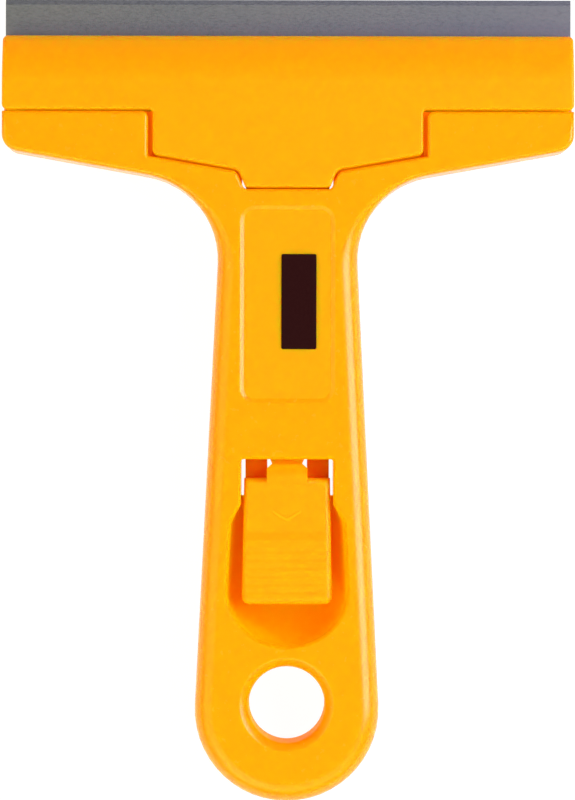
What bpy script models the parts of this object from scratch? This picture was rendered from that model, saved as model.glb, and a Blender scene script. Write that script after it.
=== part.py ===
"""Hand scraper: a moulded handle, a clamp lever woven through it, a steel blade, a pin and a spring.

The scraper lies on its back. X runs along the blade, +Y towards the cutting edge and +Z out of
the front face. The origin is under the middle of the overall length. Lengths are in metres.
"""

import math

import bmesh
import bpy
from mathutils import Matrix, Vector

# Overall
LENGTH = 0.1415
THICKNESS = 0.014
SEAT_GAP = 0.0003
SEAM_GAP = 0.0003
OVERRUN = 0.003
MERGE_DISTANCE = 0.0000003

# Blade
BLADE_LENGTH = 0.100
BLADE_WIDTH = 0.0198
BLADE_THICKNESS = 0.0005
BLADE_SHOWN = 0.0066
BLADE_HEIGHT = 0.006
GRIND_WIDTH = 0.0009
EDGE_THICKNESS = 0.00008
PEG_SPACING = 0.046
PEG_DIAMETER = 0.004
PEG_HEIGHT = 0.0012
PEG_INSET = 0.005
PEG_CLEARANCE = 0.0003
RECESS_CLEARANCE = 0.0008
RECESS_HEADROOM = 0.0008

# Head, with its nose that thins towards the blade
HEAD_OVERHANG = 0.0003
HEAD_CORNER = 0.0009
HEAD_EDGE = 0.0008
NOSE_RUN = 0.0095
NOSE_FRONT_LIP = 0.0033
NOSE_BACK_LIP = 0.0029
NOSE_CURVE = 2.0
NOSE_STATIONS = 8
SHOULDER_SIDE = 0.0066
SHOULDER_CORNER = 0.0031
UNDERSIDE_ANGLE = math.radians(10.2)

# Stem of the front jaw and the pocket that it lies in
STEM_WIDTH = 0.0476
STEM_SIDE_GAP = 0.0008
STEM_DEPTH = 0.00785
STEM_CORNER = 0.001
STEM_EDGE = 0.0005
STEM_ROOT = 0.0007
TONGUE_SHOULDER_WIDTH = 0.01745
TONGUE_SHOULDER_DROP = 0.0027
TONGUE_SHOULDER_FILLET = 0.0015
TONGUE_WIDTH = 0.01475
TONGUE_DROP = 0.0031
TONGUE_CORNER = 0.0008
POCKET_CORNER = 0.0011
POCKET_EDGE = 0.0007
POCKET_ROOT = 0.0003

# Grip
NECK_WIDTH = 0.0246
NECK_DROP = 0.0262
NECK_FILLET = 0.0151
GRIP_END_RADIUS = 0.0162
GRIP_EDGE = 0.0035
HOLE_DIAMETER = 0.0134
HOLE_RIM = 0.0022
HOLE_BACK_RIM = 0.0006
HOLE_OFFSET = 0.0009

# Channel, bridge, window and thumb bowl
CHANNEL_WIDTH = 0.0162
CHANNEL_END_GAP = 0.001
BRIDGE_WALL = 0.0024
WINDOW_LENGTH = 0.0075
WINDOW_CORNER = 0.0005
WINDOW_EDGE = 0.0006
BOWL_WIDTH = 0.021
BOWL_LENGTH = 0.02525
BOWL_WEB = 0.0015
BOWL_FLARE = 0.0036
BOWL_FLARE_FILLET = 0.004
BOWL_THROAT_FILLET = 0.001
BOWL_END_RUN = 0.0095
BOWL_FLOOR = 0.0045
BOWL_FLOOR_WIDTH = 0.008
BOWL_SCOOP = 0.0085
BOWL_RIM = 0.0009
PANEL_WIDTH = 0.017
PANEL_TOP_INSET = 0.0028
PANEL_END_INSET = 0.0097
PANEL_CORNER = 0.0028
PANEL_DEPTH = 0.0004
PANEL_SLOPE = 0.001

# Clamp lever behind the bridge
LEVER_CLEARANCE = 0.0006
PIVOT_INSET = 0.0074
HUB_RADIUS = 0.0019
HUB_SIDE_GAP = 0.00035
ARM_WIDTH = 0.0147
LEG_THICKNESS = 0.0026
LEG_DROP = 0.0007
LEG_SLOT_WIDTH = 0.007
LEG_SLOT_REACH = 0.006
ARM_FILLET = 0.0012
HEEL_REACH = 0.004

# Press pad and its stop tab
PAD_TOP_GAP = 0.0033
PAD_END_GAP = 0.00725
PAD_TOP_WIDTH = 0.0151
PAD_END_WIDTH = 0.0158
PAD_SINK = 0.0008
PAD_WALL = 0.0028
PAD_CORNER = 0.0012
PAD_EDGE = 0.001
PAD_FRONT_EDGE = 0.0014
PAD_END_EDGE = 0.001
PAD_ROOT = 0.0036
RISE_START = 0.0091
RISE_RUN = 0.0023
RISE_HEIGHT = 0.0006
RIB_COUNT = 6
RIB_PITCH = 0.00145
RIB_DEPTH = 0.0001
TAB_WIDTH = 0.006
TAB_NECK_WIDTH = 0.0053
TAB_OVERLAP = 0.00005
TAB_THICKNESS = 0.002
TAB_GAP = 0.0004
TAB_SINK = 0.0001
TAB_REACH = 0.0015
TAB_FLAT = 0.0008
TAB_RAMP = 0.0008
TAB_SHOULDER_DROP = 0.0006

# Hinge pin and return spring
PIN_RADIUS = 0.001
PIN_CLEARANCE = 0.00015
PIN_RECESS = 0.0006
SPRING_RADIUS = 0.003
SPRING_WIRE = 0.0006
SPRING_TURNS = 3.5
SPRING_POINTS = 10
SPRING_INSET = 0.0091
SPRING_SEAT_CLEARANCE = 0.0004
SPRING_SEAT_HEIGHT = 0.0011

# Facets of curved outlines
ARC_STEP = math.radians(7.5)
EDGE_STEPS = 4
RISE_STEPS = 6
RIB_STEPS = 6
BOWL_LEVELS = 12
FLARE_PAST_SHARE = 0.1
MITRE_SHARE = 0.5
ROUND_SIDES = 40
SMOOTH_ANGLE = math.radians(32)

# Places along Y that follow from the sizes above
EDGE_Y = LENGTH / 2
NOSE_Y = EDGE_Y - BLADE_SHOWN
BLADE_BACK_Y = EDGE_Y - BLADE_WIDTH
SHOULDER_Y = BLADE_BACK_Y - SEAT_GAP
BAR_END_Y = SHOULDER_Y + SEAM_GAP
STEM_END_Y = BAR_END_Y - STEM_DEPTH
TONGUE_SHOULDER_Y = STEM_END_Y - TONGUE_SHOULDER_DROP
TONGUE_END_Y = TONGUE_SHOULDER_Y - TONGUE_DROP
BRIDGE_TOP_Y = TONGUE_END_Y - SEAM_GAP
GRIP_END_Y = GRIP_END_RADIUS - LENGTH / 2
HOLE_Y = GRIP_END_Y + HOLE_OFFSET
BOWL_END_Y = HOLE_Y + HOLE_DIAMETER / 2 + HOLE_RIM + BOWL_WEB
BOWL_TOP_Y = BOWL_END_Y + BOWL_LENGTH
BRIDGE_END_Y = BOWL_TOP_Y + WINDOW_LENGTH
PIVOT_Y = BRIDGE_TOP_Y - PIVOT_INSET
PAD_TOP_Y = BRIDGE_END_Y - PAD_TOP_GAP
PAD_END_Y = BOWL_END_Y + PAD_END_GAP
SPRING_Y = PAD_END_Y + SPRING_INSET
PEG_Y = BLADE_BACK_Y + PEG_INSET

# Levels along Z that follow from the sizes above
BACK_JAW_Z = BLADE_HEIGHT - BLADE_THICKNESS / 2 - SEAT_GAP
FRONT_JAW_Z = BLADE_HEIGHT + BLADE_THICKNESS / 2 + SEAT_GAP
HEEL_Z = BACK_JAW_Z + SEAT_GAP
BRIDGE_UNDER_Z = THICKNESS - BRIDGE_WALL
LEVER_TOP_Z = BRIDGE_UNDER_Z - LEVER_CLEARANCE
PIVOT_Z = LEVER_TOP_Z - HUB_RADIUS
LEG_Z = PIVOT_Z - LEG_DROP
PAD_Z = THICKNESS - PAD_SINK
PAD_UNDER_Z = PAD_Z - PAD_WALL

HEAD_HALF = BLADE_LENGTH / 2 + HEAD_OVERHANG
CHANNEL_HALF = CHANNEL_WIDTH / 2


def clear_scene():
    for old in list(bpy.data.objects):
        bpy.data.objects.remove(old, do_unlink=True)


def material(name, colour, roughness, metallic):
    made = bpy.data.materials.new(name)
    made.use_nodes = True
    shader = made.node_tree.nodes["Principled BSDF"]
    shader.inputs["Base Color"].default_value = (*colour, 1)
    shader.inputs["Roughness"].default_value = roughness
    shader.inputs["Metallic"].default_value = metallic
    made.diffuse_color = (*colour, 1)
    return made


def arc(centre, radius, start, end, steps=None):
    """Points on an arc between two angles, both ends included."""
    count = steps or max(2, math.ceil(abs(end - start) / ARC_STEP))
    angles = [start + (end - start) * i / count for i in range(count + 1)]
    return [(centre[0] + radius * math.cos(a), centre[1] + radius * math.sin(a)) for a in angles]


def round_corner(before, corner, after, radius, steps):
    """The arc that rounds one corner of a polygon and touches both of its sides."""
    here = Vector(corner)
    back = (Vector(before) - here).normalized()
    on = (Vector(after) - here).normalized()
    half = back.angle(on) / 2
    centre = here + (back + on).normalized() * radius / math.sin(half)
    first = here + back * radius / math.tan(half) - centre
    last = here + on * radius / math.tan(half) - centre
    start = math.atan2(first.y, first.x)
    sweep = math.atan2(first.x * last.y - first.y * last.x, first.dot(last))
    return arc(centre, radius, start, start + sweep, steps)


def rounded(corners, steps=None):
    """A closed outline from (x, y, radius) corners, where radius 0 keeps a corner sharp."""
    points = []
    for i, (x, y, radius) in enumerate(corners):
        if radius == 0:
            points.append((x, y))
            continue
        before = corners[i - 1][:2]
        after = corners[(i + 1) % len(corners)][:2]
        points += round_corner(before, (x, y), after, radius, steps)
    return points


def mirrored(half):
    """Corners of a whole outline from those of its +X half, listed from high Y to low Y."""
    return half + [(-x, y, radius) for x, y, radius in reversed(half)]


def area(points):
    return sum(a[0] * b[1] - b[0] * a[1] for a, b in zip(points, points[1:] + points[:1])) / 2


def offset_outline(points, distances):
    """The outline with each point moved out by its distance, at right angles to the outline."""
    turn = 1 if area(points) > 0 else -1
    moved = []
    for i, here in enumerate(points):
        into = (Vector(here) - Vector(points[i - 1])).normalized()
        out = (Vector(points[(i + 1) % len(points)]) - Vector(here)).normalized()
        tangent = (into + out).normalized()
        normal = Vector((tangent.y, -tangent.x)) * turn
        reach = distances[i] / max(into.dot(tangent), MITRE_SHARE)
        moved.append((here[0] + normal.x * reach, here[1] + normal.y * reach))
    return moved


def solid_from_rings(rings):
    """A closed bmesh lofted through rings that have equal numbers of 3-D points."""
    bm = bmesh.new()
    made = [[bm.verts.new(point) for point in ring] for ring in rings]
    for low, high in zip(made, made[1:]):
        for i in range(len(low)):
            bm.faces.new((low[i - 1], low[i], high[i], high[i - 1]))
    bm.faces.new(made[0])
    bm.faces.new(made[-1])
    bmesh.ops.remove_doubles(bm, verts=bm.verts, dist=MERGE_DISTANCE)
    bmesh.ops.recalc_face_normals(bm, faces=bm.faces)
    return bm


def edge_rings(outline, face, inwards, radii):
    """Rings of a quarter round along one edge of a plate, from its side to its face.

    A positive radius rounds the edge off. A negative one flares it out, which on a cutter
    leaves a rounded rim on the piece that it cuts. A flare's last ring stands past the face.
    """
    rings = []
    for step in range(EDGE_STEPS + 1):
        turn = math.pi / 2 * step / EDGE_STEPS
        moves = [-r * (1 - math.cos(turn)) for r in radii]
        ring = offset_outline(outline, moves)
        depths = [abs(r) * (1 - math.sin(turn)) for r in radii]
        if step == EDGE_STEPS:
            depths = [min(r, 0) * FLARE_PAST_SHARE for r in radii]
        rings.append([(x, y, face + inwards * depth) for (x, y), depth in zip(ring, depths)])
    return rings


def per_point(outline, radius):
    return [radius(y) for _, y in outline] if callable(radius) else [radius] * len(outline)


def plate(outline, low, high, low_radius=0, high_radius=0):
    """A solid between two levels, whose two edges are rounded or flared as edge_rings says."""
    rings = []
    if low_radius:
        rings += reversed(edge_rings(outline, low, 1, per_point(outline, low_radius)))
    else:
        rings.append([(x, y, low) for x, y in outline])
    if high_radius:
        rings += edge_rings(outline, high, -1, per_point(outline, high_radius))
    else:
        rings.append([(x, y, high) for x, y in outline])
    return solid_from_rings(rings)


def stretched(ring, z):
    return [(x, y, z) for x, y, _ in ring]


def cutter_plate(outline, low, high, rim, low_rim=0):
    """A cutter that passes the front face with a flared rim, and the back face with a low_rim."""
    top = edge_rings(outline, high, -1, per_point(outline, -rim))
    rings = [[(x, y, low) for x, y in outline]]
    if low_rim:
        bottom = list(reversed(edge_rings(outline, low, 1, per_point(outline, -low_rim))))
        rings = [stretched(bottom[0], low - OVERRUN)] + bottom
    return solid_from_rings(rings + top + [stretched(top[-1], high + OVERRUN)])


def side_prism(profile, half_width):
    """A solid with a (y, z) profile, as wide each side of X = 0 as half_width says."""
    rings = []
    for side in (-1, 1):
        rings.append([(side * w, y, z) for (y, z), w in zip(profile, half_width)])
    return solid_from_rings(rings)


def rod(radius, half_length, y, z, sides=ROUND_SIDES):
    """A round bar along X."""
    angles = [2 * math.pi * i / sides for i in range(sides)]
    profile = [(y + radius * math.cos(a), z + radius * math.sin(a)) for a in angles]
    return side_prism(profile, [half_length] * sides)


def post(radius, x, y, low, high, sides=ROUND_SIDES):
    """A round post along Z."""
    angles = [2 * math.pi * i / sides for i in range(sides)]
    outline = [(x + radius * math.cos(a), y + radius * math.sin(a)) for a in angles]
    return plate(outline, low, high)


def as_object(name, bm, look=None):
    mesh = bpy.data.meshes.new(name)
    bm.to_mesh(mesh)
    bm.free()
    made = bpy.data.objects.new(name, mesh)
    bpy.context.scene.collection.objects.link(made)
    if look:
        mesh.materials.append(look)
    return made


def combine(target, bm, operation, name):
    """Adds a Boolean modifier whose other solid is a hidden helper object."""
    helper = as_object(name, bm)
    helper.hide_render = True
    helper.display_type = "WIRE"
    modifier = target.modifiers.new(name, "BOOLEAN")
    modifier.operation = operation
    modifier.solver = "EXACT"
    modifier.object = helper


def cut(target, bm, name):
    combine(target, bm, "DIFFERENCE", name)


def join(target, bm, name):
    combine(target, bm, "UNION", name)


def smooth(target):
    """Shades the round faces smooth, on the base mesh and after its modifiers."""
    target.data.shade_smooth()
    target.data.set_sharp_from_angle(angle=SMOOTH_ANGLE)


def thin_nose(bm, level, lip, face):
    """Bends one face of the head towards the blade, down to a lip above or below a level."""
    start = NOSE_Y - NOSE_RUN
    for station in range(1, NOSE_STATIONS):
        place = (0, start + NOSE_RUN * station / NOSE_STATIONS, 0)
        everything = bm.verts[:] + bm.edges[:] + bm.faces[:]
        bmesh.ops.bisect_plane(bm, geom=everything, plane_co=place, plane_no=(0, 1, 0))
    for vert in bm.verts:
        beyond = (vert.co.y - start) / NOSE_RUN
        above = (vert.co.z - level) / (face - level)
        if beyond > 0 and above > 0:
            drop = (1 - lip / abs(face - level)) * beyond**NOSE_CURVE
            vert.co.z = level + (vert.co.z - level) * (1 - drop)


def grip_edge(y):
    """The radius of the body's long edges: fine on the head, full on the grip."""
    low = NECK_START_Y
    high = TONGUE_SHOULDER_Y
    share = min(max((y - low) / (high - low), 0), 1)
    blend = share * share * (3 - 2 * share)
    return GRIP_EDGE + (HEAD_EDGE - GRIP_EDGE) * blend


def taper_line():
    """The straight side of the grip, which touches the end circle: (x at y = 0, dx/dy)."""
    rise = SHOULDER_Y - NECK_DROP - GRIP_END_Y
    reach = math.hypot(NECK_WIDTH / 2, rise)
    lean = math.asin(GRIP_END_RADIUS / reach) - math.atan2(NECK_WIDTH / 2, rise)
    slope = -math.tan(lean)
    return GRIP_END_RADIUS / math.cos(lean) - slope * GRIP_END_Y, slope


def neck_corner():
    """Where the underside of the shoulders would meet the straight side of the grip."""
    x0, slope = taper_line()
    corner_y = SHOULDER_Y - SHOULDER_SIDE
    rise = math.tan(UNDERSIDE_ANGLE)
    y = (corner_y + rise * (x0 - HEAD_HALF)) / (1 - rise * slope)
    return x0 + slope * y, y


NECK_START_Y = neck_corner()[1] - NECK_FILLET


def body_outline():
    """The plan of the handle, from the nose round the grip."""
    slope = taper_line()[1]
    touch = math.atan(-slope)
    x, y = neck_corner()
    side = rounded(
        [
            (0, NOSE_Y, 0),
            (HEAD_HALF, NOSE_Y, HEAD_CORNER),
            (HEAD_HALF, SHOULDER_Y - SHOULDER_SIDE, SHOULDER_CORNER),
            (x, y, NECK_FILLET),
            (x + slope * (GRIP_END_Y - y), GRIP_END_Y, 0),
        ]
    )[1:-1]
    end = arc((0, GRIP_END_Y), GRIP_END_RADIUS, touch, -math.pi / 2)
    half = side + end
    return half + [(-x, y) for x, y in reversed(half[:-1])]


def stem_corners(out, down, upper, lower):
    """The lower half-outline of the front jaw, grown sideways by out and towards -Y by down."""
    grow = min(out, SEAM_GAP)
    return [
        (STEM_WIDTH / 2 + out, BAR_END_Y - down, upper),
        (STEM_WIDTH / 2 + out, STEM_END_Y - down, lower),
        (TONGUE_SHOULDER_WIDTH / 2 + grow, TONGUE_SHOULDER_Y - down, TONGUE_SHOULDER_FILLET),
        (TONGUE_WIDTH / 2 + grow, TONGUE_END_Y - down, TONGUE_CORNER),
    ]


def pocket_cutter():
    """The space of the front jaw and its stem in the front of the head."""
    half = [
        (HEAD_HALF + OVERRUN, NOSE_Y + OVERRUN, 0),
        (HEAD_HALF + OVERRUN, SHOULDER_Y, 0),
    ]
    half += stem_corners(STEM_SIDE_GAP, SEAM_GAP, POCKET_CORNER, POCKET_ROOT)
    return cutter_plate(rounded(mirrored(half)), BACK_JAW_Z, THICKNESS, POCKET_EDGE)


def box(x, y_low, y_high, z_low, z_high):
    return plate([(-x, y_low), (x, y_low), (x, y_high), (-x, y_high)], z_low, z_high)


def channel_cutter():
    """The way of the lever's arm behind the bridge, open at the back."""
    return box(
        CHANNEL_HALF,
        BOWL_TOP_Y + CHANNEL_END_GAP,
        TONGUE_SHOULDER_Y - SEAM_GAP,
        -OVERRUN,
        BRIDGE_UNDER_Z,
    )


def window_cutter():
    """The window between the bridge and the thumb bowl."""
    low = BOWL_TOP_Y - BOWL_FLARE / 2
    outline = rounded(
        mirrored([(CHANNEL_HALF, BRIDGE_END_Y, WINDOW_CORNER), (CHANNEL_HALF, low, 0)])
    )
    return cutter_plate(outline, BRIDGE_UNDER_Z - BRIDGE_WALL, THICKNESS, WINDOW_EDGE)


def bowl_outline(narrow, scoop):
    """One level of the thumb bowl: a throat, a flare, sides along the grip and a round end."""
    throat = CHANNEL_HALF - SEAT_GAP
    end_y = BOWL_END_Y + BOWL_END_RUN
    flare_y = BOWL_TOP_Y - BOWL_FLARE
    wide = BOWL_WIDTH / 2 - narrow
    top = [
        (throat, BOWL_TOP_Y + BOWL_FLARE / 2, 0),
        (throat, BOWL_TOP_Y, BOWL_THROAT_FILLET),
        (wide + taper_line()[1] * (flare_y - end_y), flare_y, BOWL_FLARE_FILLET),
        (wide, end_y, 0),
    ]
    side = rounded(top + [(0, end_y, 0)], EDGE_STEPS)[:-1]
    reach = BOWL_END_RUN - scoop
    end = [(x * wide, end_y + y * reach) for x, y in arc((0, 0), 1, 0, -math.pi / 2)[1:]]
    half = side + end
    return half + [(-x, y) for x, y in reversed(half[:-1])]


def bowl_rim(y):
    """The radius of the bowl's rim: as the window's at the throat, full below the flare."""
    share = min(max((BOWL_TOP_Y - y) / BOWL_FLARE, 0), 1)
    return WINDOW_EDGE + (BOWL_RIM - WINDOW_EDGE) * share


def bowl_cutter():
    """The thumb bowl: its sides and end curve up from the floor, steep at the rim."""
    rings = []
    rim_z = THICKNESS - BOWL_RIM
    for level in range(BOWL_LEVELS + 1):
        turn = math.pi / 2 * level / BOWL_LEVELS
        left = 1 - math.sin(turn)
        outline = bowl_outline((BOWL_WIDTH - BOWL_FLOOR_WIDTH) / 2 * left, BOWL_SCOOP * left)
        z = BOWL_FLOOR + (rim_z - BOWL_FLOOR) * (1 - math.cos(turn))
        rings.append([(x, y, z) for x, y in outline])
    top = edge_rings(outline, THICKNESS, -1, [-bowl_rim(y) for _, y in outline])
    return solid_from_rings(rings + top[1:] + [stretched(top[-1], THICKNESS + OVERRUN)])


def hole_cutter():
    """The hanging hole with its two rounded rims."""
    outline = arc((0, HOLE_Y), HOLE_DIAMETER / 2, 0, 2 * math.pi)[:-1]
    return cutter_plate(outline, 0, THICKNESS, HOLE_RIM, HOLE_BACK_RIM)


def panel_cutter():
    """The shallow panel on the bridge, whose wall slopes softly."""
    half = PANEL_WIDTH / 2
    outline = rounded(
        mirrored(
            [
                (half, BRIDGE_TOP_Y - PANEL_TOP_INSET, PANEL_CORNER),
                (half, BRIDGE_END_Y + PANEL_END_INSET, PANEL_CORNER),
            ]
        )
    )
    rings = []
    for step in range(EDGE_STEPS + 1):
        share = step / EDGE_STEPS
        blend = share * share * (3 - 2 * share)
        ring = offset_outline(outline, [-PANEL_SLOPE * (1 - share)] * len(outline))
        z = THICKNESS - PANEL_DEPTH * (1 - blend)
        rings.append([(x, y, z) for x, y in ring])
    return solid_from_rings(rings + [stretched(rings[-1], THICKNESS + OVERRUN)])


def make_handle(look):
    """Handle body: back jaw, shoulders, bridge, grip, thumb bowl and hanging hole."""
    bm = plate(body_outline(), 0, THICKNESS, grip_edge, grip_edge)
    thin_nose(bm, BACK_JAW_Z, NOSE_BACK_LIP, 0)
    handle = as_object("handle_body", bm, look)
    cut(handle, pocket_cutter(), "cut_jaw_pocket")
    cut(handle, channel_cutter(), "cut_channel")
    cut(handle, window_cutter(), "cut_window")
    cut(handle, bowl_cutter(), "cut_bowl")
    cut(handle, hole_cutter(), "cut_hanging_hole")
    cut(handle, panel_cutter(), "cut_panel")
    bore = PIN_RADIUS + PIN_CLEARANCE
    cut(handle, rod(bore, HEAD_HALF, PIVOT_Y, PIVOT_Z), "cut_pin_bore")
    for side in (-1, 1):
        root = BACK_JAW_Z - PEG_HEIGHT
        top = BACK_JAW_Z + PEG_HEIGHT
        peg = post(PEG_DIAMETER / 2, side * PEG_SPACING / 2, PEG_Y, root, top)
        join(handle, peg, "join_peg")
    seat = post(seat_radius(), 0, SPRING_Y, BOWL_FLOOR / 2, BOWL_FLOOR + SPRING_SEAT_HEIGHT)
    join(handle, seat, "join_spring_seat")
    smooth(handle)
    return handle


def seat_radius():
    return SPRING_RADIUS - SPRING_WIRE / 2 - SPRING_SEAT_CLEARANCE


def front_jaw():
    """The jaw bar with its stem and tongue, thinned at the nose."""
    half = [
        (HEAD_HALF, NOSE_Y, HEAD_CORNER),
        (HEAD_HALF, BAR_END_Y, HEAD_CORNER),
    ]
    half += stem_corners(0, 0, STEM_ROOT, STEM_CORNER)
    bm = plate(rounded(mirrored(half)), FRONT_JAW_Z, THICKNESS, 0, jaw_edge)
    thin_nose(bm, FRONT_JAW_Z, NOSE_FRONT_LIP, THICKNESS)
    return bm


def jaw_edge(y):
    """The radius of the jaw's front edge: as the head's on the bar, finer round the stem."""
    return HEAD_EDGE if y > BAR_END_Y + HEAD_CORNER else STEM_EDGE


def heel():
    """The thicker underside of the stem, which fills the pocket behind the blade."""
    half = [
        (STEM_WIDTH / 2 - STEM_CORNER, BLADE_BACK_Y - SEAT_GAP, 0),
        (STEM_WIDTH / 2 - STEM_CORNER, STEM_END_Y + STEM_CORNER, 0),
        (TONGUE_WIDTH / 2, TONGUE_SHOULDER_Y + STEM_CORNER, 0),
        (TONGUE_WIDTH / 2, TONGUE_END_Y + TONGUE_CORNER, 0),
    ]
    outline = [(x, y) for x, y, _ in mirrored(half)]
    return plate(outline, HEEL_Z, (FRONT_JAW_Z + THICKNESS) / 2)


def arm_profile():
    """Side view of the arm: under the bridge, past the pin, and up to the press pad."""
    leg_top = LEG_Z + LEG_THICKNESS / 2
    leg_bottom = LEG_Z - LEG_THICKNESS / 2
    hub_bottom = PIVOT_Z - HUB_RADIUS
    root_y = PAD_TOP_Y - PAD_ROOT
    inside_z = (PAD_Z + PAD_UNDER_Z) / 2
    slack = SEAT_GAP / 2
    return rounded(
        [
            (TONGUE_SHOULDER_Y + HEEL_REACH / 2, LEVER_TOP_Z + slack, 0),
            (TONGUE_END_Y + STEM_EDGE, LEVER_TOP_Z - slack, 0),
            (PIVOT_Y, LEVER_TOP_Z - slack, HUB_RADIUS),
            (PIVOT_Y - 2 * HUB_RADIUS, leg_top, HUB_RADIUS),
            (PAD_TOP_Y - PAD_FRONT_EDGE / 6, leg_top, ARM_FILLET / 2),
            (PAD_TOP_Y - PAD_FRONT_EDGE / 6, inside_z, 0),
            (root_y - PAD_ROOT / 2, inside_z, 0),
            (root_y - PAD_ROOT / 2, PAD_UNDER_Z - slack, ARM_FILLET),
            (root_y, leg_bottom, ARM_FILLET),
            (PIVOT_Y - 2 * HUB_RADIUS, leg_bottom, HUB_RADIUS),
            (PIVOT_Y, hub_bottom + slack, HUB_RADIUS),
            (TONGUE_SHOULDER_Y - SEAM_GAP, HEEL_Z + slack, 0),
            (TONGUE_SHOULDER_Y + HEEL_REACH / 2, HEEL_Z + slack, 0),
        ]
    )


def pad_stations():
    """(y, top z) down the pad: a round front edge, a rise, shallow ribs and a round end."""
    stations = []
    for step in range(EDGE_STEPS + 1):
        turn = math.pi / 2 * step / EDGE_STEPS
        out = PAD_FRONT_EDGE * (1 - math.cos(turn))
        drop = PAD_FRONT_EDGE * (1 - math.sin(turn))
        stations.append((PAD_TOP_Y - out, PAD_Z - drop))
    for step in range(RISE_STEPS + 1):
        share = step / RISE_STEPS
        blend = share * share * (3 - 2 * share)
        stations.append((PAD_TOP_Y - RISE_START - RISE_RUN * share, PAD_Z + RISE_HEIGHT * blend))
    crest_y = stations[-1][0] - RIB_PITCH / 2
    high_z = PAD_Z + RISE_HEIGHT
    for step in range(RIB_COUNT * RIB_STEPS):
        wave = (1 - math.cos(2 * math.pi * step / RIB_STEPS)) / 2
        stations.append((crest_y - RIB_PITCH * step / RIB_STEPS, high_z - RIB_DEPTH * wave))
    for step in range(EDGE_STEPS + 1):
        turn = math.pi / 2 * step / EDGE_STEPS
        out = PAD_CORNER * (1 - math.sin(turn))
        drop = PAD_END_EDGE * (1 - math.cos(turn))
        stations.append((PAD_END_Y + out, high_z - drop))
    return stations


def pad_half_width(y):
    """The pad widens towards its free end, whose corners are round."""
    share = (PAD_TOP_Y - y) / (PAD_TOP_Y - PAD_END_Y)
    half = (PAD_TOP_WIDTH + (PAD_END_WIDTH - PAD_TOP_WIDTH) * share) / 2
    into = max(PAD_END_Y + PAD_CORNER - y, 0) / PAD_CORNER
    return half - PAD_CORNER * (1 - math.sqrt(max(1 - into * into, 0)))


def press_pad():
    """The ribbed pad, lofted through cross-sections with round shoulders."""
    rings = []
    for y, top in pad_stations():
        half = pad_half_width(y)
        right = [(half, PAD_UNDER_Z)]
        for step in range(EDGE_STEPS + 1):
            turn = math.pi / 2 * step / EDGE_STEPS
            inset = PAD_EDGE * (1 - math.cos(turn))
            right.append((half - inset, top - PAD_EDGE * (1 - math.sin(turn))))
        section = right + [(-x, z) for x, z in reversed(right)]
        rings.append([(x, y, z) for x, z in section])
    return solid_from_rings(rings)


def stop_tab():
    """The tab that bridges the leg slot and stops under the lower lip of the bridge."""
    ledge = BRIDGE_UNDER_Z - TAB_GAP
    low = ledge - TAB_THICKNESS
    ramp_y = BRIDGE_END_Y - TAB_FLAT
    root = LEG_SLOT_WIDTH / 2 + TAB_OVERLAP
    stations = [
        (PAD_TOP_Y - 2 * PAD_FRONT_EDGE, root, PAD_Z - TAB_SINK),
        (PAD_TOP_Y, root, PAD_Z - TAB_SINK),
        (ramp_y - TAB_RAMP, root, PAD_Z - TAB_SHOULDER_DROP),
        (ramp_y, TAB_NECK_WIDTH / 2, ledge),
        (BRIDGE_END_Y, TAB_WIDTH / 2, ledge),
        (BRIDGE_END_Y + TAB_REACH, TAB_WIDTH / 2, ledge),
    ]
    rings = [[(-x, y, low), (x, y, low), (x, y, z), (-x, y, z)] for y, x, z in stations]
    return solid_from_rings(rings)


def leg_slot():
    """The slot that parts the arm into two legs below the tab."""
    low = PAD_TOP_Y - PAD_FRONT_EDGE / 2
    outline = rounded(
        mirrored(
            [
                (LEG_SLOT_WIDTH / 2, BRIDGE_END_Y + LEG_SLOT_REACH, LEG_SLOT_WIDTH / 4),
                (LEG_SLOT_WIDTH / 2, low, 0),
            ]
        )
    )
    return plate(outline, 0, LEG_Z + LEG_THICKNESS)


def set_origin(target, place):
    """Moves an object's origin and leaves its shape where it is."""
    target.data.transform(Matrix.Translation(-Vector(place)))
    target.location = place


def make_lever(look):
    """Clamp lever: front jaw, stem, arm behind the bridge, stop tab and press pad, in one."""
    lever = as_object("clamp_lever", front_jaw(), look)
    join(lever, heel(), "join_heel")
    profile = arm_profile()
    arm = side_prism(profile, [ARM_WIDTH / 2] * len(profile))
    arm_object = as_object("arm", arm)
    arm_object.hide_render = True
    arm_object.display_type = "WIRE"
    cut(arm_object, leg_slot(), "cut_leg_slot")
    modifier = lever.modifiers.new("join_arm", "BOOLEAN")
    modifier.operation = "UNION"
    modifier.solver = "EXACT"
    modifier.object = arm_object
    join(lever, rod(HUB_RADIUS, CHANNEL_HALF - HUB_SIDE_GAP, PIVOT_Y, PIVOT_Z), "join_hub")
    join(lever, press_pad(), "join_pad")
    join(lever, stop_tab(), "join_tab")
    seat_low = PAD_UNDER_Z - SPRING_SEAT_HEIGHT
    seat = post(seat_radius(), 0, SPRING_Y, seat_low, PAD_UNDER_Z + PAD_WALL / 3)
    join(lever, seat, "join_spring_seat")
    bore = PIN_RADIUS + PIN_CLEARANCE
    cut(lever, rod(bore, CHANNEL_HALF + OVERRUN, PIVOT_Y, PIVOT_Z), "cut_pin_bore")
    for side in (-1, 1):
        radius = PEG_DIAMETER / 2 + RECESS_CLEARANCE
        top = BACK_JAW_Z + PEG_HEIGHT + RECESS_HEADROOM
        recess = post(radius, side * PEG_SPACING / 2, PEG_Y, BACK_JAW_Z, top)
        cut(lever, recess, "cut_peg_recess")
    set_origin(lever, (0, PIVOT_Y, PIVOT_Z))
    smooth(lever)
    return lever


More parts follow.
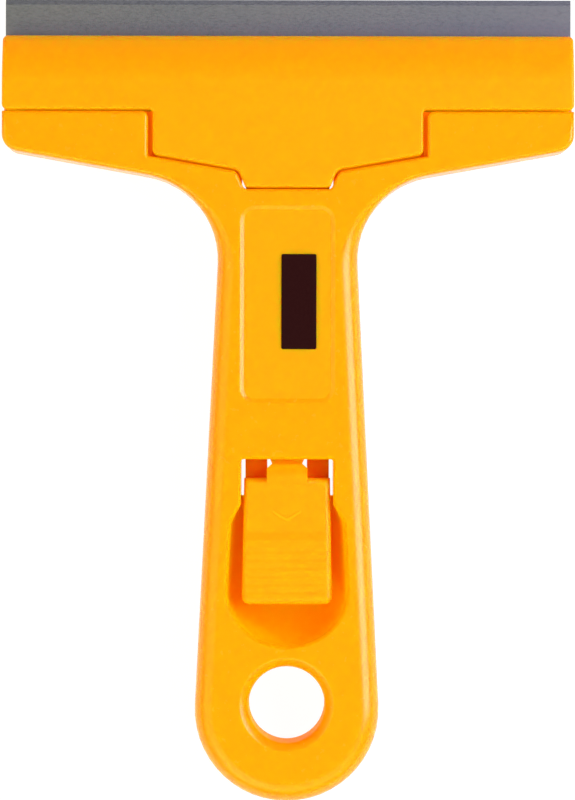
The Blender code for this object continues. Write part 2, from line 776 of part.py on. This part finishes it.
def make_blade(look):
    """Blade: a flat steel strip, ground on both sides of its edge, with two peg holes."""
    half = BLADE_THICKNESS / 2
    tip = EDGE_THICKNESS / 2
    profile = [
        (BLADE_BACK_Y, BLADE_HEIGHT - half),
        (EDGE_Y - GRIND_WIDTH, BLADE_HEIGHT - half),
        (EDGE_Y, BLADE_HEIGHT - tip),
        (EDGE_Y, BLADE_HEIGHT + tip),
        (EDGE_Y - GRIND_WIDTH, BLADE_HEIGHT + half),
        (BLADE_BACK_Y, BLADE_HEIGHT + half),
    ]
    bm = side_prism(profile, [BLADE_LENGTH / 2] * len(profile))
    blade = as_object("blade", bm, look)
    for side in (-1, 1):
        radius = PEG_DIAMETER / 2 + PEG_CLEARANCE
        low = BLADE_HEIGHT - BLADE_THICKNESS
        high = BLADE_HEIGHT + BLADE_THICKNESS
        cut(blade, post(radius, side * PEG_SPACING / 2, PEG_Y, low, high), "cut_peg_hole")
    smooth(blade)
    return blade


def make_pin(look):
    """Hinge pin: a plain steel pin across the neck, through the hub of the lever."""
    half = NECK_WIDTH / 2 - PIN_RECESS
    pin = as_object("hinge_pin", rod(PIN_RADIUS, half, 0, 0), look)
    pin.location = (0, PIVOT_Y, PIVOT_Z)
    smooth(pin)
    return pin


def spring_points():
    """Centre points of the coil, which rises at one steady pitch."""
    low = BOWL_FLOOR + SEAT_GAP + SPRING_WIRE / 2
    high = PAD_UNDER_Z - SEAT_GAP - SPRING_WIRE / 2
    count = round(SPRING_TURNS * SPRING_POINTS)
    points = []
    for i in range(count + 1):
        angle = 2 * math.pi * SPRING_TURNS * i / count
        z = low + (high - low) * i / count
        x = SPRING_RADIUS * math.cos(angle)
        points.append((x, SPRING_Y + SPRING_RADIUS * math.sin(angle), z))
    return points


def least_gap(points):
    """The least distance between parts of the coil more than half a turn apart, less the wire."""
    apart = SPRING_POINTS // 2
    pairs = [(a, b) for i, a in enumerate(points) for b in points[i + apart :]]
    return min(math.dist(a, b) for a, b in pairs) - SPRING_WIRE


def make_spring(look):
    """Return spring: a steel coil between the bowl's floor and the pad."""
    points = spring_points()
    curve = bpy.data.curves.new("return_spring", "CURVE")
    curve.dimensions = "3D"
    curve.bevel_depth = SPRING_WIRE / 2
    curve.bevel_resolution = 1
    curve.use_fill_caps = True
    spline = curve.splines.new("POLY")
    spline.points.add(len(points) - 1)
    for spot, place in zip(spline.points, points):
        spot.co = (*place, 1)
    curve.materials.append(look)
    spring = bpy.data.objects.new("return_spring", curve)
    bpy.context.scene.collection.objects.link(spring)
    print(f"return_spring: least gap to itself {least_gap(points) * 1000:.2f} mm")
    return spring


def main():
    clear_scene()
    make_handle(material("handle_plastic", (1.0, 0.44, 0.0), 0.32, 0.0))
    make_lever(material("lever_plastic", (1.0, 0.44, 0.0), 0.32, 0.0))
    make_blade(material("blade_steel", (0.21, 0.2, 0.22), 0.4, 1.0))
    make_pin(material("pin_steel", (0.5, 0.5, 0.5), 0.3, 1.0))
    make_spring(material("spring_steel", (0.4, 0.4, 0.42), 0.35, 1.0))


main()
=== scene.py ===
"""Looks of the hand scraper: plastic and steel finishes, small trim, soft light and the camera.

Everything is in metres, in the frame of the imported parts: X along the blade, +Y towards the
cutting edge, +Z out of the front face.
"""

import math

import bmesh
import bpy
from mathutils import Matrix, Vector

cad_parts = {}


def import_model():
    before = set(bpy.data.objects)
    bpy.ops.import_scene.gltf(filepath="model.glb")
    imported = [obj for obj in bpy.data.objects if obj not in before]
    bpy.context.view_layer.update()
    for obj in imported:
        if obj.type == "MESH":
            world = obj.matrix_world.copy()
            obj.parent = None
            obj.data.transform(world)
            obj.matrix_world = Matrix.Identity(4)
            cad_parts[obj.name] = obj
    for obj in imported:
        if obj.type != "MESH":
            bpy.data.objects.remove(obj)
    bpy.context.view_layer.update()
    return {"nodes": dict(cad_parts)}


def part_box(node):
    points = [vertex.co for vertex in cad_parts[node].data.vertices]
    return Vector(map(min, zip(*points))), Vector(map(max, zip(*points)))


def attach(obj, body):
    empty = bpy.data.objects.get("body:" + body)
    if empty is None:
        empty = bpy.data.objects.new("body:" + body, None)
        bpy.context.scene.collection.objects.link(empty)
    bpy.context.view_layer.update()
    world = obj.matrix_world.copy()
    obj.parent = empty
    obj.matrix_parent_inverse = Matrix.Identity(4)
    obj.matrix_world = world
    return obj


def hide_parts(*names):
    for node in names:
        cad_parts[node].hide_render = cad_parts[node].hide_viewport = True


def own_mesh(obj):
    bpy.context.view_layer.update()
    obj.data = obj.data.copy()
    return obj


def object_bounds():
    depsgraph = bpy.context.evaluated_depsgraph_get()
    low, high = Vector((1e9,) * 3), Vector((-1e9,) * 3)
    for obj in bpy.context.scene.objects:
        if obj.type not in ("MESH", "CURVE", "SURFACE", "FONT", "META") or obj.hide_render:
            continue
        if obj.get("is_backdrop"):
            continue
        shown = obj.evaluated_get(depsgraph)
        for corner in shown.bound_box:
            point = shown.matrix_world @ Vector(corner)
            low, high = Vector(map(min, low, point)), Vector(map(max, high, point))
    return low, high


# Camera: straight down on the front face, at the photograph's distance, scale and small roll
CAMERA_DISTANCE = 0.9
PX_PER_METRE = 5695
PICTURE_LONG_SIDE = 800
CAMERA_OFFSET = (0.00004, -0.00009)
CAMERA_ROLL = math.radians(0.13)
SENSOR = 36.0

# Studio light, as directions from the middle of the scraper
LIGHT_DISTANCE = 0.9
KEY_LIGHT = (13, 40, (0.62, 0.62), 9.8, (1.0, 1.0, 1.0))
LEFT_LIGHT = (200, 44, (1.9, 0.8), 10.0, (1.0, 0.98, 0.25))
FOOT_LIGHT = (-90, 44, (1.6, 0.6), 5.2, (1.0, 1.0, 0.35))
WORLD_STRENGTH = 0.1
FLOOR_COLOUR = (0.1, 0.1, 0.1)
FLOOR_SIZE = 4
FLOOR_DROP = 0.0002
FLOOR_GLOW = 0.97
FLOOR_ROUGHNESS = 0.9

# Colours, linear
PLASTIC_COLOUR = (0.905, 0.347, 0.0)
PLASTIC_COLOUR_DEEP = (0.895, 0.34, 0.0)
# Brighter than the plain plastic: painted light deep in the window and the thumb bowl
RECESS_LIT_COLOUR = (1.0, 0.432, 0.0)
RECESS_LIT_COLOUR_DEEP = (0.99, 0.418, 0.0)
# Darker and redder: painted shade on the ledges deep in the gaps beside the stem
LEDGE_SHADE_COLOUR = (0.8, 0.22, 0.0)
LEDGE_SHADE_COLOUR_DEEP = (0.79, 0.21, 0.0)
# Darker and redder: painted shade on the lever's arm and legs low in the window
LEG_SHADE_COLOUR = (0.97, 0.2, 0.0)
LEG_SHADE_COLOUR_DEEP = (0.96, 0.19, 0.0)
STEEL_COLOUR = (0.236, 0.228, 0.328)
STEEL_STAIN = (0.193, 0.203, 0.312)
BRIGHT_STEEL = (0.55, 0.55, 0.56)
PLATE_COLOUR = (0.014, 0.0015, 0.0035)
PLATE_SPECK = (0.021, 0.0035, 0.006)

# Plastic
SOAK_DEPTH = 0.006
SOAK_COLOUR = (1.0, 0.12, 0.03)
DEEP_SOAK_DEPTH = 0.012
DEEP_SOAK_COLOUR = (3.0, 1.05, 0.05)
# Faint emission in the gap round the stem: painted light
SEAM_PAINTED_GLOW = (0.13, 0.07, 0.0)
SHELL_FINISH = (0.32, 0.24, 0.000003)
LEVER_FINISH = (0.15, 0.42, 0.000005)
RECESS_FINISH = (0.03, 0.5, 0.000008)
PANEL_FINISH = (0.15, 0.45, 0.000008)
ROUGHNESS_SPREAD = 0.04
GRAIN_STRENGTH = 0.5

# Textures: features per metre along X, Y and Z, and the part of a noise that is used
CLOUD = (70, 45, 70)
SPECK = (900, 900, 900)
GRAIN = (5200, 5200, 5200)
STAIN = (90, 160, 90)
GRIND = (1300, 4200, 4200)
WIRE_MARKS = (3000, 3000, 3000)
ROD_MARKS = (3000, 800, 800)
PLATE_GRAIN = (2600, 2600, 2600)
COARSE_DETAIL = 3.0
FINE_DETAIL = 2.0
NOISE_RANGE = (0.3, 0.7)

# Steel and plate: roughness from smooth to dull, and relief as height and strength
GRIND_ROUGHNESS = (0.46, 0.62)
GRIND_RELIEF = (0.000012, 0.6)
BRIGHT_ROUGHNESS = (0.24, 0.42)
BRIGHT_RELIEF = (0.000006, 0.5)
PLATE_ROUGHNESS = (0.38, 0.5)
PLATE_SHINE = 0.05

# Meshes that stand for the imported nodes
WELD_DISTANCE = 0.000001
FLAT_ANGLE = math.radians(0.2)
SHARP_ANGLE = math.radians(35)
UPWARD = 0.99
LEVEL = 0.999

# Material slots of the handle and of the lever, after the plain plastic in slot 0
PANEL_SLOT = 1
RIM_SLOT = 2
RECESS_LIT_SLOT = 3
SEAM_GLOW_SLOT = 4
LEVER_SEAM_GLOW_SLOT = 1
LEG_SHADE_SLOT = 2

# Window and thumb bowl, whose finish is duller and whose deeper faces get a brighter colour as
# painted light
RECESS_HALF = 0.0113
RECESS_SPAN = (-0.0445, -0.0099)
RECESS_BOTTOM = 0.001
RIM_DEPTH = 0.001
HOLE_Y = -0.05365
HOLE_WALL = 0.0069

# Gap between the two mouldings at the head, whose deep faces get a faint painted glow, and the
# ledges in its sides
SEAM_SPAN = (0.0368, 0.0511)
SEAM_HALF = 0.0249
SEAM_TONGUE = 0.0092
SEAM_LEAN = 0.37
SEAM_BOTTOM = 0.0053
SEAM_DEPTH = 0.0006
SEAM_REACH = 0.0004
SHOULDER_Y = 0.0508
LEDGE_OUTLINE = [
    (0.02387, 0.04285),
    (0.0249, 0.04285),
    (0.0249, 0.0493),
    (0.0258, 0.0506),
    (0.02387, 0.0506),
]
LEDGE_LEVELS = (0.0110, 0.0125, 0.0126)
LEDGE_TOP_SHARE = 0.97

# Top of the lever's arm and legs, seen in the window, which is coloured darker as painted shade
ARM_SPAN = (-0.016, 0.03)
ARM_LEVEL = 0.0105
ARM_FACING = 0.5

# Panel on the bridge and the bare plate in it
PANEL_DEPTH = 0.0004
LEVEL_TOLERANCE = 0.00003
PLATE_SIZE = (0.00615, 0.0167)
PLATE_OFFSET = (0.002, 0.0005)
PLATE_THICKNESS = 0.0002
PLATE_CORNER = 0.0003
PLATE_CORNER_STEPS = 6

# Mark on the press pad
CHEVRON_WIDTH = 0.0052
CHEVRON_RISE = 0.0016
CHEVRON_STROKE = 0.0006
CHEVRON_HEIGHT = 0.00007
CHEVRON_BEVEL = 0.00005
CHEVRON_SINK = 0.00005
CHEVRON_TIP_Y = -0.0215
PAD_SINK = 0.0008

# Return spring
SPRING_WIRE = 0.0006
SPRING_TURNS = 3.5
SPRING_STEPS = 28
SPRING_SIDES = 12


def new_material(name, constants):
    """A material whose Principled shader has the given constants."""
    made = bpy.data.materials.new(name)
    made.use_nodes = True
    shader = made.node_tree.nodes["Principled BSDF"]
    for socket, value in constants.items():
        shader.inputs[socket].default_value = value
    return made, shader


def noise(look, per_metre, detail):
    """The factor of a noise texture with so many features per metre along X, Y and Z."""
    nodes = look.node_tree.nodes
    links = look.node_tree.links
    place = nodes.new("ShaderNodeTexCoord")
    stretch = nodes.new("ShaderNodeMapping")
    stretch.inputs["Scale"].default_value = per_metre
    made = nodes.new("ShaderNodeTexNoise")
    made.inputs["Scale"].default_value = 1.0
    made.inputs["Detail"].default_value = detail
    links.new(place.outputs["Object"], stretch.inputs["Vector"])
    links.new(stretch.outputs["Vector"], made.inputs["Vector"])
    return made.outputs["Fac"]


def vary(look, factor, socket, low, high):
    """Spreads a number socket between two values by a texture's factor."""
    spread = look.node_tree.nodes.new("ShaderNodeMapRange")
    spread.inputs["From Min"].default_value = NOISE_RANGE[0]
    spread.inputs["From Max"].default_value = NOISE_RANGE[1]
    spread.inputs["To Min"].default_value = low
    spread.inputs["To Max"].default_value = high
    look.node_tree.links.new(factor, spread.inputs["Value"])
    look.node_tree.links.new(spread.outputs["Result"], socket)


def tint(look, factor, socket, low, high):
    """Mixes a colour socket between two colours by a texture's factor."""
    mix = look.node_tree.nodes.new("ShaderNodeMix")
    mix.data_type = "RGBA"
    mix.inputs["A"].default_value = (*low, 1)
    mix.inputs["B"].default_value = (*high, 1)
    look.node_tree.links.new(factor, mix.inputs["Factor"])
    look.node_tree.links.new(mix.outputs["Result"], socket)


def relief(look, factor, socket, height, strength):
    """Adds a fine bump of a given height in metres."""
    bump = look.node_tree.nodes.new("ShaderNodeBump")
    bump.inputs["Distance"].default_value = height
    bump.inputs["Strength"].default_value = strength
    look.node_tree.links.new(factor, bump.inputs["Height"])
    look.node_tree.links.new(bump.outputs["Normal"], socket)


def plastic(name, finish, colours=(PLASTIC_COLOUR, PLASTIC_COLOUR_DEEP), soak=1.0):
    """Moulded plastic: cloudy colour, light that soaks in, and a fine eroded grain.

    A finish is the shine, the roughness and the height of the grain.
    """
    shine, roughness, grain = finish
    look, shader = new_material(
        name,
        {
            "Specular IOR Level": shine,
            "Subsurface Weight": soak,
            "Subsurface Radius": SOAK_COLOUR,
            "Subsurface Scale": SOAK_DEPTH,
        },
    )
    cloud = noise(look, CLOUD, COARSE_DETAIL)
    tint(look, cloud, shader.inputs["Base Color"], *colours)
    speck = noise(look, SPECK, COARSE_DETAIL)
    smooth = roughness - ROUGHNESS_SPREAD
    dull = roughness + ROUGHNESS_SPREAD
    vary(look, speck, shader.inputs["Roughness"], smooth, dull)
    fine = noise(look, GRAIN, FINE_DETAIL)
    relief(look, fine, shader.inputs["Normal"], grain, GRAIN_STRENGTH)
    return look


def deep_lit_plastic(name):
    """The plastic inside recesses: light soaks far through it, and its brighter colour is painted
    light.
    """
    look = plastic(name, RECESS_FINISH, (RECESS_LIT_COLOUR, RECESS_LIT_COLOUR_DEEP))
    shader = look.node_tree.nodes["Principled BSDF"]
    shader.inputs["Subsurface Radius"].default_value = DEEP_SOAK_COLOUR
    shader.inputs["Subsurface Scale"].default_value = DEEP_SOAK_DEPTH
    return look


def glowing_seam_plastic(name):
    """The plastic in the narrow gap round the stem, with a faint emission as painted light."""
    look = deep_lit_plastic(name)
    shader = look.node_tree.nodes["Principled BSDF"]
    shader.inputs["Emission Color"].default_value = (*SEAM_PAINTED_GLOW, 1)
    shader.inputs["Emission Strength"].default_value = 1.0
    return look


def ground_steel():
    """Blade steel: short grinding marks along its length, with a faint oily stain."""
    look, shader = new_material("ground_steel", {"Metallic": 1.0})
    stain = noise(look, STAIN, COARSE_DETAIL)
    tint(look, stain, shader.inputs["Base Color"], STEEL_STAIN, STEEL_COLOUR)
    grain = noise(look, GRIND, COARSE_DETAIL)
    vary(look, grain, shader.inputs["Roughness"], *GRIND_ROUGHNESS)
    relief(look, grain, shader.inputs["Normal"], *GRIND_RELIEF)
    return look


def bright_steel(name, per_metre):
    """Drawn steel wire or rod, with so many fine marks per metre along X, Y and Z."""
    look, shader = new_material(name, {"Metallic": 1.0})
    shader.inputs["Base Color"].default_value = (*BRIGHT_STEEL, 1)
    marks = noise(look, per_metre, FINE_DETAIL)
    vary(look, marks, shader.inputs["Roughness"], *BRIGHT_ROUGHNESS)
    relief(look, marks, shader.inputs["Normal"], *BRIGHT_RELIEF)
    return look


def plate_print():
    """The bare dark plate: satin print with a fine speckle."""
    look, shader = new_material("plate_print", {"Specular IOR Level": PLATE_SHINE})
    speck = noise(look, PLATE_GRAIN, FINE_DETAIL)
    tint(look, speck, shader.inputs["Base Color"], PLATE_COLOUR, PLATE_SPECK)
    vary(look, speck, shader.inputs["Roughness"], *PLATE_ROUGHNESS)
    return look


def as_piece(name, bm, looks, body):
    """Turns a bmesh into a piece with its materials, which moves with a body."""
    mesh = bpy.data.meshes.new(name)
    bm.to_mesh(mesh)
    bm.free()
    piece = bpy.data.objects.new(name, mesh)
    bpy.context.scene.collection.objects.link(piece)
    for look in looks:
        mesh.materials.append(look)
    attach(piece, body)
    return piece


def shade(piece):
    """Smooth shading over rounded edges, with flat faces kept flat."""
    piece.data.shade_smooth()
    piece.data.set_sharp_from_angle(angle=SHARP_ANGLE)
    weigh = piece.modifiers.new("weigh_normals", "WEIGHTED_NORMAL")
    weigh.keep_sharp = True


def welded(source):
    """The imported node's shape, as one welded bmesh with whole flat faces."""
    bm = bmesh.new()
    bm.from_mesh(source.data)
    bmesh.ops.remove_doubles(bm, verts=bm.verts, dist=WELD_DISTANCE)
    bmesh.ops.dissolve_limit(bm, angle_limit=FLAT_ANGLE, verts=bm.verts, edges=bm.edges)
    return bm


def finer(frame, node, name, looks, body):
    """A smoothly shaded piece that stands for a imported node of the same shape."""
    piece = as_piece(name, welded(frame["nodes"][node]), looks, body)
    shade(piece)
    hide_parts(node)
    return piece


def panel_faces(piece, top):
    """The faces of the shallow panel's floor."""
    level = top - PANEL_DEPTH
    return [
        face
        for face in piece.data.polygons
        if face.normal.z > UPWARD and abs(face.center.z - level) < LEVEL_TOLERANCE
    ]


def recess_faces(piece, top):
    """The faces inside the window and the thumb bowl, with their rims."""
    low, high = RECESS_SPAN
    below_panel = top - PANEL_DEPTH * 2
    return [
        face
        for face in piece.data.polygons
        if abs(face.center.x) < RECESS_HALF
        and low < face.center.y < high
        and face.center.z > RECESS_BOTTOM
        and (face.normal.z < LEVEL or face.center.z < below_panel)
    ]


def hole_faces(piece):
    """The faces of the hanging hole's wall, without its front rim."""
    return [
        face
        for face in piece.data.polygons
        if math.hypot(face.center.x, face.center.y - HOLE_Y) < HOLE_WALL
    ]


def glow_seam_faces(piece, top):
    """The faces deep in the gap between the two mouldings at the head, which get a faint painted
    glow.
    """
    low, high = SEAM_SPAN
    return [
        face
        for face in piece.data.polygons
        if low + max(abs(face.center.x) - SEAM_TONGUE, 0) * SEAM_LEAN < face.center.y < high
        and SEAM_BOTTOM < face.center.z < top - SEAM_DEPTH
        and (abs(face.center.x) < SEAM_HALF or abs(face.center.y - SHOULDER_Y) < SEAM_REACH)
    ]


def shaded_leg_faces(piece):
    """The upper faces of the lever's arm and legs, low in the window, which get a darker colour as
    painted shade.
    """
    low, high = ARM_SPAN
    return [
        face
        for face in piece.data.polygons
        if low < face.center.y < high
        and face.center.z < ARM_LEVEL
        and face.normal.z > ARM_FACING
    ]


def paint(faces, slot):
    for face in faces:
        face.material_index = slot


def make_handle(frame):
    """The handle body's finer piece; gives back the middle of its panel's floor."""
    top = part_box("handle_body")[1].z
    looks = [
        plastic("handle_plastic_fine", SHELL_FINISH),
        plastic("panel_plastic", PANEL_FINISH),
        plastic("rim_plastic", RECESS_FINISH),
        # Brighter colour deep in the window and bowl: painted light
        deep_lit_plastic("recess_lit_plastic"),
        # Faint glow in the gap round the stem: painted light
        glowing_seam_plastic("glowing_gap_plastic"),
    ]
    handle = finer(frame, "handle_body", "handle_shell", looks, "handle")
    recess = recess_faces(handle, top)
    paint(recess, RIM_SLOT)
    # The deeper faces get the brighter colour, which is painted light
    paint([face for face in recess if face.center.z < top - RIM_DEPTH], RECESS_LIT_SLOT)
    paint(hole_faces(handle), RIM_SLOT)
    # The gap's faces get the faint glow, which is painted light
    paint(glow_seam_faces(handle, top), SEAM_GLOW_SLOT)
    panel = panel_faces(handle, top)
    paint(panel, PANEL_SLOT)
    spots = [handle.data.vertices[i].co for face in panel for i in face.vertices]
    low = Vector([min(spot[axis] for spot in spots) for axis in range(3)])
    high = Vector([max(spot[axis] for spot in spots) for axis in range(3)])
    return (low + high) / 2


def make_lever(frame):
    """The lever's finer piece, with a faint painted glow in the seam and a darker colour as painted
    shade on its legs in the window.
    """
    looks = [
        plastic("lever_plastic_fine", LEVER_FINISH),
        # Faint glow in the seam: painted light
        glowing_seam_plastic("glowing_seam_plastic"),
        # Darker, redder legs in the window: painted shade
        plastic("leg_shaded_plastic", RECESS_FINISH, (LEG_SHADE_COLOUR, LEG_SHADE_COLOUR_DEEP)),
    ]
    lever = finer(frame, "clamp_lever", "lever_shell", looks, "lever")
    # The seam's faces get the faint glow, which is painted light
    paint(glow_seam_faces(lever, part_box("clamp_lever")[1].z), LEVER_SEAM_GLOW_SLOT)
    # The arm and legs get the darker colour, which is painted shade
    paint(shaded_leg_faces(lever), LEG_SHADE_SLOT)


def close_rings(bm, rings):
    """Skins rings of vertices into one closed body."""
    for low, high in zip(rings, rings[1:]):
        for i in range(len(low)):
            bm.faces.new((low[i - 1], low[i], high[i], high[i - 1]))
    bm.faces.new(rings[0])
    bm.faces.new(rings[-1])
    bmesh.ops.recalc_face_normals(bm, faces=bm.faces)


def rounded_rectangle(width, length, radius, steps):
    """The outline of a rectangle about zero, with so many steps in each round corner."""
    points = []
    for corner in range(4):
        x = (width / 2 - radius) * (1 if corner in (0, 3) else -1)
        y = (length / 2 - radius) * (1 if corner in (0, 1) else -1)
        for step in range(steps + 1):
            turn = math.pi / 2 * (corner + step / steps)
            points.append((x + radius * math.cos(turn), y + radius * math.sin(turn)))
    return points


def make_ledges():
    """The ledge at each side of the stem, on which the gap beside it ends, coloured darker and
    redder as painted shade.
    """
    # Darker, redder colour on the ledges: painted shade
    look = plastic("ledge_shaded_plastic", RECESS_FINISH, (LEDGE_SHADE_COLOUR, LEDGE_SHADE_COLOUR_DEEP), soak=0.0)
    middle = sum((Vector(spot) for spot in LEDGE_OUTLINE), Vector((0, 0))) / len(LEDGE_OUTLINE)
    for name, side in (("stem_ledge_right", 1), ("stem_ledge_left", -1)):
        bm = bmesh.new()
        rings = []
        for level, share in zip(LEDGE_LEVELS, (1, 1, LEDGE_TOP_SHARE)):
            line = [middle + (Vector(spot) - middle) * share for spot in LEDGE_OUTLINE]
            rings.append([bm.verts.new((side * spot.x, spot.y, level)) for spot in line])
        close_rings(bm, rings)
        as_piece(name, bm, [look], "handle")


def make_plate(middle):
    """A bare dark plate on the panel's floor."""
    width, length = PLATE_SIZE
    outline = rounded_rectangle(width, length, PLATE_CORNER, PLATE_CORNER_STEPS)
    inner = rounded_rectangle(
        width - PLATE_THICKNESS, length - PLATE_THICKNESS, PLATE_CORNER, PLATE_CORNER_STEPS
    )
    bm = bmesh.new()
    levels = [(outline, 0), (outline, PLATE_THICKNESS / 2), (inner, PLATE_THICKNESS)]
    place = middle + Vector((*PLATE_OFFSET, 0))
    rings = [[bm.verts.new(place + Vector((x, y, z))) for x, y in line] for line, z in levels]
    close_rings(bm, rings)
    shade(as_piece("bare_plate", bm, [plate_print()], "handle"))


def chevron_ring(inset):
    """The outline of the chevron, drawn in from its edge by an inset."""
    half = CHEVRON_WIDTH / 2 - inset
    low = CHEVRON_TIP_Y + inset
    high = CHEVRON_TIP_Y + CHEVRON_STROKE - inset
    arms = [(-half, low + CHEVRON_RISE), (0, low), (half, low + CHEVRON_RISE)]
    return arms + [(half, high + CHEVRON_RISE), (0, high), (-half, high + CHEVRON_RISE)]


def make_chevron():
    """A faint raised chevron on the press pad, too thin for light to soak in."""
    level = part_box("clamp_lever")[1].z - PAD_SINK
    bm = bmesh.new()
    steps = [(0, -CHEVRON_SINK), (0, CHEVRON_HEIGHT / 2), (CHEVRON_BEVEL, CHEVRON_HEIGHT)]
    rings = []
    for inset, rise in steps:
        rings.append([bm.verts.new((x, y, level + rise)) for x, y in chevron_ring(inset)])
    close_rings(bm, rings)
    look = plastic("chevron_plastic", LEVER_FINISH, soak=0.0)
    as_piece("pad_chevron", bm, [look], "lever")


def make_spring():
    """Return spring: a round wire coil."""
    low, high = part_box("return_spring")
    axis = (low + high) / 2
    wire = SPRING_WIRE / 2
    radius = (high.x - low.x) / 2 - wire
    count = round(SPRING_TURNS * SPRING_STEPS)
    bm = bmesh.new()
    rings = []
    for i in range(count + 1):
        share = i / count
        turn = 2 * math.pi * SPRING_TURNS * share
        out = Vector((math.cos(turn), math.sin(turn), 0))
        centre = Vector((axis.x, axis.y, low.z + wire + (high.z - low.z - 2 * wire) * share))
        centre += out * radius
        rings.append([])
        for side in range(SPRING_SIDES):
            angle = 2 * math.pi * side / SPRING_SIDES
            offset = out * math.cos(angle) + Vector((0, 0, 1)) * math.sin(angle)
            rings[-1].append(bm.verts.new(centre + offset * wire))
    close_rings(bm, rings)
    spring = as_piece("spring_wire", bm, [bright_steel("spring_wire", WIRE_MARKS)], "handle")
    shade(spring)
    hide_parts("return_spring")
    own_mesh(spring)


def make_floor():
    """A pale floor that glows evenly, as under a product photograph."""
    bpy.ops.mesh.primitive_plane_add(size=FLOOR_SIZE, location=(0, 0, -FLOOR_DROP))
    floor = bpy.context.object
    floor.name = "floor"
    look, _ = new_material(
        "pale_floor",
        {
            "Base Color": (*FLOOR_COLOUR, 1),
            "Roughness": FLOOR_ROUGHNESS,
            "Specular IOR Level": 0.0,
            "Emission Color": (1, 1, 1, 1),
            "Emission Strength": FLOOR_GLOW,
        },
    )
    floor.data.materials.append(look)
    floor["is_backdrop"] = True


def area_light(name, azimuth, elevation, size, power, colour):
    """A soft rectangular light; azimuth turns from +X towards +Y, size is across and along."""
    lamp = bpy.data.lights.new(name, "AREA")
    lamp.shape = "RECTANGLE"
    lamp.size, lamp.size_y = size
    lamp.energy = power
    lamp.color = colour
    made = bpy.data.objects.new(name, lamp)
    bpy.context.scene.collection.objects.link(made)
    turn = math.radians(azimuth)
    rise = math.radians(elevation)
    way = Vector((math.cos(rise) * math.cos(turn), math.cos(rise) * math.sin(turn), math.sin(rise)))
    made.location = way * LIGHT_DISTANCE
    made.rotation_euler = (-way).to_track_quat("-Z", "Y").to_euler()


def make_light():
    """Three soft lights and a weak even surround."""
    world = bpy.data.worlds.new("studio")
    world.use_nodes = True
    background = world.node_tree.nodes["Background"]
    background.inputs["Color"].default_value = (1, 1, 1, 1)
    background.inputs["Strength"].default_value = WORLD_STRENGTH
    bpy.context.scene.world = world
    area_light("key_right", *KEY_LIGHT)
    area_light("fill_left", *LEFT_LIGHT)
    area_light("fill_foot", *FOOT_LIGHT)


def make_camera():
    """The camera over the front face, whose lens gives the photograph's scale there."""
    data = bpy.data.cameras.new("camera")
    data.sensor_width = SENSOR
    data.lens = SENSOR * CAMERA_DISTANCE * PX_PER_METRE / PICTURE_LONG_SIDE
    camera = bpy.data.objects.new("camera", data)
    camera.location = (*CAMERA_OFFSET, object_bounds()[1].z + CAMERA_DISTANCE)
    camera.rotation_euler = (0, 0, CAMERA_ROLL)
    bpy.context.scene.collection.objects.link(camera)
    bpy.context.scene.camera = camera
    bpy.context.scene.view_settings.view_transform = "Standard"


def main():
    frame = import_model()
    panel_middle = make_handle(frame)
    make_lever(frame)
    make_ledges()
    make_chevron()
    finer(frame, "blade", "blade_strip", [ground_steel()], "handle")
    pin_look = bright_steel("pin_steel_fine", ROD_MARKS)
    finer(frame, "hinge_pin", "pin_rod", [pin_look], "handle")
    make_plate(panel_middle)
    make_spring()
    make_floor()
    make_light()
    make_camera()


main()
